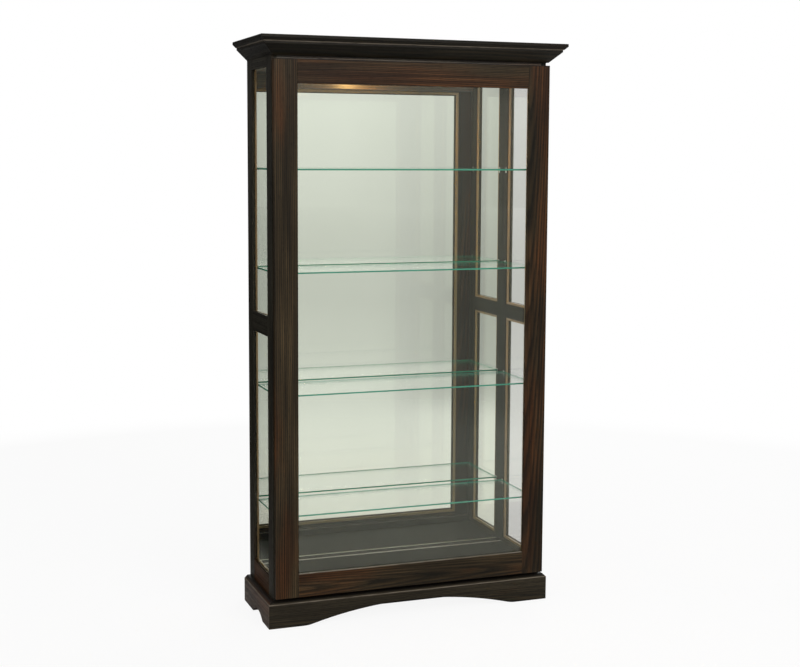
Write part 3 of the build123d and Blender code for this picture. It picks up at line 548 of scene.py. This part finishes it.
def lit_lens():
    """The frosted lens of the ceiling light, brightest at its middle."""
    made, tree = material("lit_lens")
    low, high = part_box("light_lens")
    centre = middle_of("light_lens")
    place = tree.place()
    squares = [
        tree.math("POWER", tree.math("SUBTRACT", place[axis], centre[axis]), 2.0) for axis in (0, 1)
    ]
    away = tree.math("SQRT", tree.math("ADD", *squares))
    glow = tree.ramp(away, 0.0, (high.x - low.x) / 2, LENS_MIDDLE_GLOW, LENS_RIM_GLOW)
    frost = tree.noise(stretched(tree, place, (900.0, 900.0, 0.0)))
    principled(
        tree,
        {
            "Base Color": tree.steps(frost, (0.3, (0.86, 0.82, 0.72)), (0.7, (0.95, 0.92, 0.84))),
            "Roughness": tree.ramp(frost, 0.3, 0.7, 0.45, 0.6),
            "Emission Color": (1.0, 0.80, 0.52, 1.0),
            "Emission Strength": glow,
        },
    )
    return made


give("back_panel", back_plywood())
give("base_corner_blocks", raw_blocks())
give("door_glass_retainers", retainer_wood("door_glass_retainers", "xz"))
for side in ("left", "right"):
    for window in ("upper", "lower"):
        strips = f"{side}_{window}_glass_retainers"
        give(strips, retainer_wood(strips, "yz"))

pane_finish = pane()
for node in NODES:
    if node.endswith("_glass"):
        give(node, pane_finish)
shelf_finish = shelf_glass()
for number in range(1, 5):
    give(f"glass_shelf_{number}", shelf_finish)
give("mirror", silvered_glass())

zinc = metal("bright_zinc", (0.44, 0.45, 0.455), 0.34, brushed="x")
for node in NODES:
    if "slide_" in node:
        give(node, zinc)
yellow_zinc = metal("yellow_zinc", (0.58, 0.52, 0.38), 0.32)
zinc_screws = metal("zinc_screws", (0.60, 0.61, 0.62), 0.28)
give("back_panel_screws", yellow_zinc)
give("shelf_supports", metal("satin_nickel", (0.72, 0.70, 0.66), 0.22, brushed="z"))
give("light_housing", metal("spun_aluminium", (0.70, 0.71, 0.72), 0.38, brushed="z"))
give("light_trim_ring", metal("aged_brass", (0.50, 0.36, 0.17), 0.30))
give("light_board", plastic("light_board", (0.78, 0.78, 0.74), 0.55))
give("light_lens", lit_lens())
give("cord_grommet", plastic("black_rubber", (0.022, 0.022, 0.023), 0.6))


# ---- Screws -----------------------------------------------------------------------------------

SCREW_SEGMENTS = 32
SCREW_TURN = 0.7  # radians from one screw's recess to the next
SHARP_EDGE = math.radians(40)
# A pan head from its seat to its flat top, as (share of the head's radius, share of its height).
PAN_HEAD = ((0.97, 0.0), (1.0, 0.12), (0.99, 0.42), (0.93, 0.68), (0.80, 0.88), (0.64, 0.98), (0.52, 1.0))
# The cross recess, in shares of the head's radius and of its height.
RECESS_ARM = 0.46
RECESS_HALF_WIDTH = 0.11
RECESS_DEPTH = 0.62
RECESS_TAPER = 0.75
THREAD_ROOT = 0.78  # in shares of the shank's radius
# Metres.
HEAD_RADIUS = 0.0040
HEAD_HEIGHT = 0.0014
SHANK_RADIUS = 0.0020
THREAD_PITCH = 0.0016


def islands(mesh):
    """(lowest, highest) corner of every connected surface of a mesh, in a fixed order.

    The frame's meshes are split at sharp edges, so one plain screw is five surfaces: the side, the
    top and the underside of its head, and the side and the tip of its shank.
    """
    shape = bmesh.new()
    shape.from_mesh(mesh)
    left = set(shape.verts)
    found = []
    while left:
        reached = [left.pop()]
        corners = []
        while reached:
            vertex = reached.pop()
            corners.append(vertex.co.copy())
            for edge in vertex.link_edges:
                other = edge.other_vert(vertex)
                if other in left:
                    left.remove(other)
                    reached.append(other)
        low = Vector([min(corner[axis] for corner in corners) for axis in range(3)])
        high = Vector([max(corner[axis] for corner in corners) for axis in range(3)])
        found.append((low, high))
    shape.free()
    return sorted(found, key=lambda box: (*box[0], *box[1]))


def cross_outline(angle):
    """How far the outline of the cross recess is from its middle, as a share of the head's radius."""
    cosine = max(abs(math.cos(angle)), 1e-6)
    sine = max(abs(math.sin(angle)), 1e-6)
    lying = min(RECESS_ARM / cosine, RECESS_HALF_WIDTH / sine)
    standing = min(RECESS_ARM / sine, RECESS_HALF_WIDTH / cosine)
    return max(lying, standing)


def screw_rings(length):
    """A screw from its tip to the floor of its recess: (radius at every angle, height) of each ring."""

    def round_ring(radius):
        return [radius] * SCREW_SEGMENTS

    rings = [(round_ring(0.1 * SHANK_RADIUS), -length)]
    thread_start = -length + 2 * SHANK_RADIUS
    for turn in range(int(-thread_start / THREAD_PITCH)):
        root = thread_start + turn * THREAD_PITCH
        rings.append((round_ring(THREAD_ROOT * SHANK_RADIUS), root))
        rings.append((round_ring(SHANK_RADIUS), root + THREAD_PITCH / 2))
    rings.append((round_ring(0.8 * SHANK_RADIUS), 0.0))
    for share, height in PAN_HEAD:
        rings.append((round_ring(share * HEAD_RADIUS), height * HEAD_HEIGHT))
    step = 2 * math.pi / SCREW_SEGMENTS
    cross = [cross_outline(number * step) * HEAD_RADIUS for number in range(SCREW_SEGMENTS)]
    rings.append((cross, HEAD_HEIGHT))
    rings.append(([RECESS_TAPER * radius for radius in cross], (1.0 - RECESS_DEPTH) * HEAD_HEIGHT))
    return rings


def add_screw(shape, seat, outward, spin, length):
    """One screw in the mesh: seat is where its head meets the work and outward the way it faces."""
    across = Vector((1.0, 0.0, 0.0))
    up = outward.cross(across)
    step = 2 * math.pi / SCREW_SEGMENTS
    rows = []
    for radii, height in screw_rings(length):
        row = []
        for number, radius in enumerate(radii):
            angle = number * step + spin
            side = across * (math.cos(angle) * radius) + up * (math.sin(angle) * radius)
            row.append(shape.verts.new(seat + side + outward * height))
        rows.append(row)
    for lower, upper in zip(rows, rows[1:]):
        for number in range(SCREW_SEGMENTS):
            following = (number + 1) % SCREW_SEGMENTS
            shape.faces.new((lower[number], lower[following], upper[following], upper[number]))
    shape.faces.new(list(reversed(rows[0])))
    shape.faces.new(rows[-1])


def screws(node, finish, body, faces_back):
    """Pan-head screws in place of a node's plain ones, with their heads to the back or the front.

    Known fault: each surface from islands gets a screw, so five overlap in the place of each one.
    """
    mesh = bpy.data.meshes.new(f"{node}_detailed")
    shape = bmesh.new()
    outward = Vector((0.0, 1.0 if faces_back else -1.0, 0.0))
    for number, (low, high) in enumerate(islands(NODES[node].data)):
        middle = (low + high) / 2
        top = high.y if faces_back else low.y
        seat = Vector((middle.x, top, middle.z)) - outward * HEAD_HEIGHT
        add_screw(shape, seat, outward, SCREW_TURN * number, high.y - low.y - HEAD_HEIGHT)
    shape.to_mesh(mesh)
    shape.free()
    mesh.shade_smooth()
    mesh.set_sharp_from_angle(angle=SHARP_EDGE)
    piece = bpy.data.objects.new(f"{node}_detailed", mesh)
    scene.collection.objects.link(piece)
    mesh.materials.append(finish)
    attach(piece, body)
    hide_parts(node)


screws("back_panel_screws", yellow_zinc, "cabinet", faces_back=True)
screws("cabinet_slide_screws", zinc_screws, "cabinet", faces_back=False)
screws("door_slide_screws", zinc_screws, "door", faces_back=True)


# ---- Studio -----------------------------------------------------------------------------------

FLOOR_RADIUS = 40.0
FLOOR_SEGMENTS = 96
FADE_START = 1.2  # metres from the cabinet
FADE_END = 4.0
BLACK = (0.0, 0.0, 0.0, 1.0)
DARK_ROOM = (0.012, 0.012, 0.013, 1.0)
PAINTED_FLOOR_SHADE = (0.02, 0.02, 0.02, 1.0)


def studio_world():
    """Plain white where it is seen directly; a soft grey room in reflections and through the panes."""
    world = bpy.data.worlds.new("studio")
    world.use_nodes = True
    scene.world = world
    tree = Tree(world.node_tree)
    x, y, z = tree.add("SeparateXYZ", {0: tree.add("TexCoord").outputs["Generated"]}).outputs
    height = tree.steps(
        tree.ramp(z, -0.1, 0.9, smooth=False),
        (0.0, (0.72, 0.72, 0.71)),
        (0.07, (0.75, 0.75, 0.74)),
        (0.13, (0.86, 0.86, 0.85)),
        (1.0, (0.84, 0.84, 0.84)),
    )
    wide = tree.ramp(x, 0.30, 0.40, 0.0, 0.17)
    narrow = tree.ramp(x, 0.385, 0.415, 0.0, 0.18)
    front_right = tree.math("MULTIPLY", tree.math("ADD", wide, narrow), tree.ramp(y, 0.0, -0.5))
    back_right = tree.math("MULTIPLY", tree.ramp(x, 0.2, 0.4), tree.ramp(y, 0.4, 0.8, 0.0, 0.2))
    shaded = tree.mix(tree.math("ADD", front_right, back_right), height, BLACK)
    behind_left = tree.math("MULTIPLY", tree.ramp(x, 0.12, -0.2), tree.ramp(y, 0.1, 0.6))
    dimmed = tree.math("MULTIPLY", tree.math("MULTIPLY", behind_left, 0.93), tree.reflected())
    room = tree.mix(dimmed, shaded, DARK_ROOM)
    seen = tree.mix(tree.directly_seen(), room, WHITE)
    background = tree.add("Background", {"Color": seen, "Strength": 1.0})
    tree.add("OutputWorld", {"Surface": background.outputs[0]})


def studio_floor():
    """A wide pale floor that fades into the backdrop by its glow, which holds painted shade to the right
    and behind; behind the left it is painted dark in reflections.
    """
    mesh = bpy.data.meshes.new("floor")
    shape = bmesh.new()
    bmesh.ops.create_circle(
        shape, cap_ends=True, cap_tris=True, segments=FLOOR_SEGMENTS, radius=FLOOR_RADIUS
    )
    shape.to_mesh(mesh)
    shape.free()
    floor = bpy.data.objects.new("floor", mesh)
    scene.collection.objects.link(floor)
    made, tree = material("pale_floor")
    x, y, z = tree.place()
    away = tree.math("SQRT", tree.math("ADD", tree.math("MULTIPLY", x, x), tree.math("MULTIPLY", y, y)))
    grain = tree.noise(stretched(tree, (x, y, z), (6.0, 6.0, 0.0)))
    paint = tree.steps(grain, (0.3, (0.70, 0.70, 0.695)), (0.7, (0.715, 0.715, 0.71)))
    matt = tree.add("BsdfDiffuse", {"Color": paint})
    direct = tree.directly_seen()
    # Painted light and shade of the floor's glow, by distance from the cabinet, seen in reflections and
    # through the panes.
    room_floor = tree.steps(
        tree.ramp(away, 0.0, FLOOR_RADIUS, smooth=False),
        (0.05, (0.83, 0.83, 0.82)),
        (0.08, (0.80, 0.80, 0.79)),
        (0.10, (0.75, 0.75, 0.74)),
        (0.16, (0.68, 0.68, 0.67)),
        (0.26, (0.63, 0.63, 0.62)),
        (0.52, (0.665, 0.665, 0.655)),
        (1.0, (0.73, 0.73, 0.72)),
    )
    to_front = tree.math("MAXIMUM", tree.math("MULTIPLY", y, -1.0), 0.5)
    rightward = tree.ramp(tree.math("DIVIDE", x, to_front), 0.33, 0.52)
    shade = tree.math("MULTIPLY", rightward, tree.ramp(away, 3.3, 4.6, 0.0, 0.32))
    shade = tree.math("MULTIPLY", shade, tree.ramp(y, 0.0, -1.0))
    shade = tree.math("ADD", shade, tree.ramp(y, 0.8, 2.0, 0.0, 0.1))
    shaded = tree.mix(shade, room_floor, BLACK)
    glow = tree.add("Emission", {"Color": tree.mix(direct, shaded, WHITE)})
    far = tree.ramp(away, FADE_START, FADE_END)
    lifted = tree.math("MAXIMUM", far, tree.math("MULTIPLY", direct, 0.9))
    lit = tree.blend(lifted, matt.outputs[0], glow.outputs[0])
    # Painted shade: behind the left the floor is dark in reflections.
    behind_left = tree.math("MULTIPLY", tree.ramp(x, -0.50, -0.75), tree.ramp(y, -0.25, 0.3))
    dark = tree.add("BsdfDiffuse", {"Color": PAINTED_FLOOR_SHADE})
    shaded_behind_left = tree.math("MULTIPLY", behind_left, tree.reflected())
    surface(tree, tree.blend(shaded_behind_left, lit, dark.outputs[0]))
    mesh.materials.append(made)


# (name, place, the point it is aimed at, size, watts, colour)
SOFT_LIGHTS = (
    ("key", (1.3, -4.6, 3.6), (0.0, 0.0, 1.1), (2.4, 1.6), 105.0, (1.0, 0.97, 0.92)),
    ("fill", (-3.6, -3.4, 2.6), (0.0, 0.0, 0.9), (2.0, 2.0), 30.0, (1.0, 1.0, 1.0)),
    ("back", (2.6, 3.4, 3.0), (0.0, 0.2, 1.0), (2.4, 1.8), 45.0, (1.0, 1.0, 1.0)),
)
LAMP_POWER = 4.0
LAMP_COLOUR = (1.0, 0.57, 0.21)
LAMP_SHARE = 0.8  # of the lens's width
LAMP_DROP = 0.001  # below the trim ring


def soft_light(name, place, target, size, energy, colour):
    """A rectangular soft light aimed at a point."""
    light = bpy.data.lights.new(name, "AREA")
    light.shape = "RECTANGLE"
    light.size, light.size_y = size
    light.energy = energy
    light.color = colour
    lamp = bpy.data.objects.new(name, light)
    lamp.location = place
    lamp.rotation_euler = (Vector(target) - Vector(place)).to_track_quat("-Z", "Y").to_euler()
    scene.collection.objects.link(lamp)


def ceiling_lamp():
    """The light that the ceiling fitting gives."""
    low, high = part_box("light_lens")
    centre = middle_of("light_lens")
    light = bpy.data.lights.new("ceiling_lamp", "AREA")
    light.shape = "DISK"
    light.size = (high.x - low.x) * LAMP_SHARE
    light.energy = LAMP_POWER
    light.color = LAMP_COLOUR
    lamp = bpy.data.objects.new("ceiling_lamp", light)
    lamp.location = (centre.x, centre.y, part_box("light_trim_ring")[0].z - LAMP_DROP)
    lamp.visible_camera = False
    scene.collection.objects.link(lamp)


# ---- Camera -----------------------------------------------------------------------------------

CAMERA_PLACE = Vector((-1.7483, -4.7597, 1.6370))
CAMERA_YAW = 0.3524  # radians clockwise from +Y, seen from above
CAMERA_PITCH = -0.1068
CAMERA_ROLL = 0.0049
CAMERA_SENSOR = 36.0
CAMERA_LENS = 63.56
CAMERA_SHIFT_Y = -0.0334
CAMERA_REACH = 200.0


def photo_camera():
    """The camera of the reference view: left of the front, a little below the crown."""
    ahead = Vector((math.sin(CAMERA_YAW), math.cos(CAMERA_YAW), 0.0))
    forward = ahead * math.cos(CAMERA_PITCH) + Vector((0.0, 0.0, math.sin(CAMERA_PITCH)))
    level = Vector((math.cos(CAMERA_YAW), -math.sin(CAMERA_YAW), 0.0))
    upward = level.cross(forward)
    right = level * math.cos(CAMERA_ROLL) + upward * math.sin(CAMERA_ROLL)
    top = upward * math.cos(CAMERA_ROLL) - level * math.sin(CAMERA_ROLL)
    turned = Matrix((right, top, -forward)).transposed().to_4x4()
    data = bpy.data.cameras.new("camera")
    data.sensor_width = CAMERA_SENSOR
    data.lens = CAMERA_LENS
    data.shift_y = CAMERA_SHIFT_Y
    data.clip_end = CAMERA_REACH
    camera = bpy.data.objects.new("camera", data)
    camera.matrix_world = Matrix.Translation(CAMERA_PLACE) @ turned
    scene.collection.objects.link(camera)
    scene.camera = camera


studio_world()
studio_floor()
for soft in SOFT_LIGHTS:
    soft_light(*soft)
ceiling_lamp()
photo_camera()

scene.view_settings.view_transform = "Standard"
scene.cycles.transparent_max_bounces = 32
scene.cycles.glossy_bounces = 8
